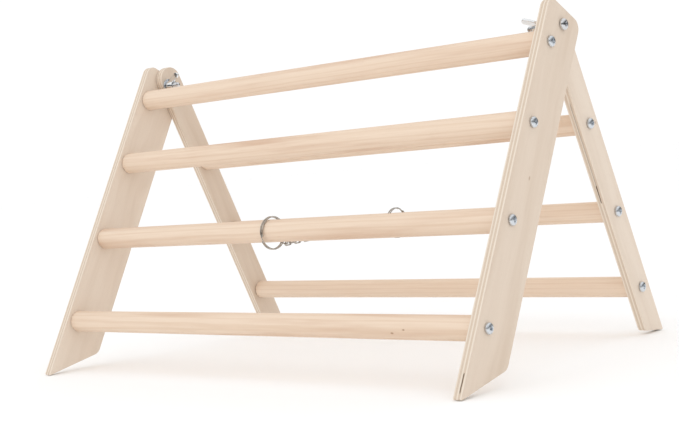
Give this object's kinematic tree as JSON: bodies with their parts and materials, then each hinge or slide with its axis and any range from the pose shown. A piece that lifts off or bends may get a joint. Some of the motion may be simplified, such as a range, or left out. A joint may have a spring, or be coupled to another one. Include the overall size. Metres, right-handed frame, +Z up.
{
  "type": "folding ladder rack",
  "caption": "Folding wooden A-frame rack: two plywood and dowel ladders hinged near the top by bolts with wing nuts, with a chain that limits the spread.",
  "frame": {"origin": "on the standing plane, at the middle of the footprint", "axes": "+X along the rungs, from the left ladder sides to the right ones; +Y from the wide front ladder to the narrow back ladder; +Z up"},
  "size_m": [0.3758, 0.236, 0.2173],
  "materials": {
    "plywood": "raw sanded birch plywood, dull",
    "dowel": "raw sanded pine or beech dowel, dull",
    "zinc": "bright zinc plate",
    "bright_chrome": "bright nickel or chrome plate",
    "nickel": "polished nickel-plated wire"
  },
  "bodies": {
    "front_ladder": {"front_rail_left": "plywood", "front_rail_right": "plywood", "front_rung_1": "dowel", "front_rung_2": "dowel", "front_rung_3": "dowel", "front_rung_4": "dowel", "front_screw_left_1": "zinc", "front_screw_left_2": "zinc", "front_screw_left_3": "zinc", "front_screw_left_4": "zinc", "front_screw_right_1": "zinc", "front_screw_right_2": "zinc", "front_screw_right_3": "zinc", "front_screw_right_4": "zinc", "hinge_bolt_left": "bright_chrome", "hinge_bolt_right": "bright_chrome", "hinge_washer_left": "zinc", "hinge_washer_right": "zinc"},
    "back_ladder": {"back_rail_left": "plywood", "back_rail_right": "plywood", "back_rung_1": "dowel", "back_rung_2": "dowel", "back_rung_3": "dowel", "back_screw_left_1": "zinc", "back_screw_left_2": "zinc", "back_screw_left_3": "zinc", "back_screw_right_1": "zinc", "back_screw_right_2": "zinc", "back_screw_right_3": "zinc"},
    "front_half_chain": {"front_chain_link_1": "nickel", "front_chain_link_10": "nickel", "front_chain_link_11": "nickel", "front_chain_link_2": "nickel", "front_chain_link_3": "nickel", "front_chain_link_4": "nickel", "front_chain_link_5": "nickel", "front_chain_link_6": "nickel", "front_chain_link_7": "nickel", "front_chain_link_8": "nickel", "front_chain_link_9": "nickel", "front_jump_ring": "nickel", "front_split_ring": "nickel"},
    "back_half_chain": {"back_chain_link_1": "nickel", "back_chain_link_10": "nickel", "back_chain_link_11": "nickel", "back_chain_link_2": "nickel", "back_chain_link_3": "nickel", "back_chain_link_4": "nickel", "back_chain_link_5": "nickel", "back_chain_link_6": "nickel", "back_chain_link_7": "nickel", "back_chain_link_8": "nickel", "back_chain_link_9": "nickel", "back_jump_ring": "nickel", "back_split_ring": "nickel"},
    "wing_nut_left": {"wing_nut_left": "bright_chrome"},
    "wing_nut_right": {"wing_nut_right": "bright_chrome"}
  },
  "joints": [
    {"name": "ladder_fold", "type": "hinge", "parent": "front_ladder", "child": "back_ladder", "pos_m": [0, 0.01613, 0.202], "axis": [1, 0, 0], "range_deg": [-32, 0]},
    {"name": "front_chain_swing", "type": "hinge", "parent": "front_ladder", "child": "front_half_chain", "pos_m": [-0.0064, -0.05595, 0.09124], "axis": [1, 0, 0], "range_deg": [-74, 0.5]},
    {"name": "back_chain_swing", "type": "hinge", "parent": "back_ladder", "child": "back_half_chain", "pos_m": [-0.0012, 0.0721, 0.08378], "axis": [1, 0, 0], "range_deg": [-0.5, 74]},
    {"name": "wing_nut_left_turn", "type": "hinge", "parent": "front_ladder", "child": "wing_nut_left", "pos_m": [-0.165, 0.01613, 0.202], "axis": [1, 0, 0], "continuous": true},
    {"name": "wing_nut_right_turn", "type": "hinge", "parent": "front_ladder", "child": "wing_nut_right", "pos_m": [0.165, 0.01613, 0.202], "axis": [1, 0, 0], "continuous": true}
  ],
  "couplings": [
    {"joint": "front_chain_swing", "follows": "ladder_fold", "ratio": 2.31},
    {"joint": "back_chain_swing", "follows": "ladder_fold", "ratio": -2.31}
  ]
}
